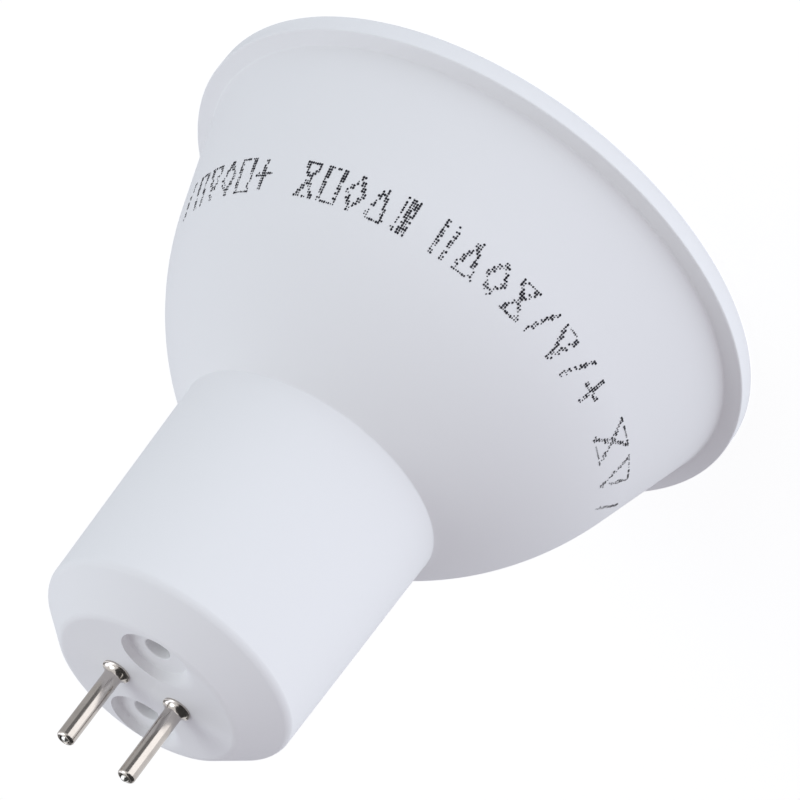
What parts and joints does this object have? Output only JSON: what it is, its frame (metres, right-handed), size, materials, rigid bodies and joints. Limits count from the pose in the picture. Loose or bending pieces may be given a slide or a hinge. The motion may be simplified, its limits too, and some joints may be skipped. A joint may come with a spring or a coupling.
{
  "type": "two-pin led spot lamp",
  "caption": "White moulded LED spot lamp with a flanged bowl, a round neck, a flat milky front cover and a two-pin plug-in base.",
  "frame": {"origin": "centre of the front rim's plane, which the lamp stands on", "axes": "+Z along the lamp from front cover to contact pins; the two pins lie on the X axis"},
  "size_m": [0.05, 0.05, 0.0538],
  "materials": {
    "white_housing": "smooth moulded white plastic, satin",
    "milky_cover": "milky light-passing plastic, fine satin",
    "pressed_aluminium": "pressed sheet, satin",
    "white_board": "white solder mask on a metal core",
    "light_source": "white case with a yellow phosphor window",
    "zinc_steel": "bright zinc",
    "green_board": "green solder mask on glass fibre",
    "capacitor_sleeve": "black shrink sleeve, aluminium top",
    "ferrite": "dark grey sintered",
    "copper_wire": "enamelled copper",
    "film_capacitor_case": "dipped orange-red case",
    "resistor_enamel": "pale green enamel",
    "black_epoxy": "moulded black epoxy",
    "nickel_plate": "bright nickel plating",
    "tinned_wire": "tinned copper",
    "red_insulation": "red insulation",
    "black_insulation": "black insulation"
  },
  "bodies": {
    "root": {"housing": "white_housing", "diffuser": "milky_cover", "heat_cup": "pressed_aluminium", "led_board": "white_board", "led_packages": "light_source", "board_screws": "zinc_steel", "driver_board": "green_board", "storage_capacitor": "capacitor_sleeve", "choke_core": "ferrite", "choke_winding": "copper_wire", "input_capacitor": "film_capacitor_case", "fusible_resistor": "resistor_enamel", "bridge_rectifier": "black_epoxy", "driver_chip": "black_epoxy", "freewheel_diode": "black_epoxy", "chip_resistors": "black_epoxy", "contact_pin_left": "nickel_plate", "contact_pin_right": "nickel_plate", "input_lead_left": "tinned_wire", "input_lead_right": "tinned_wire", "led_lead_positive": "red_insulation", "led_lead_negative": "black_insulation"}
  },
  "joints": []
}
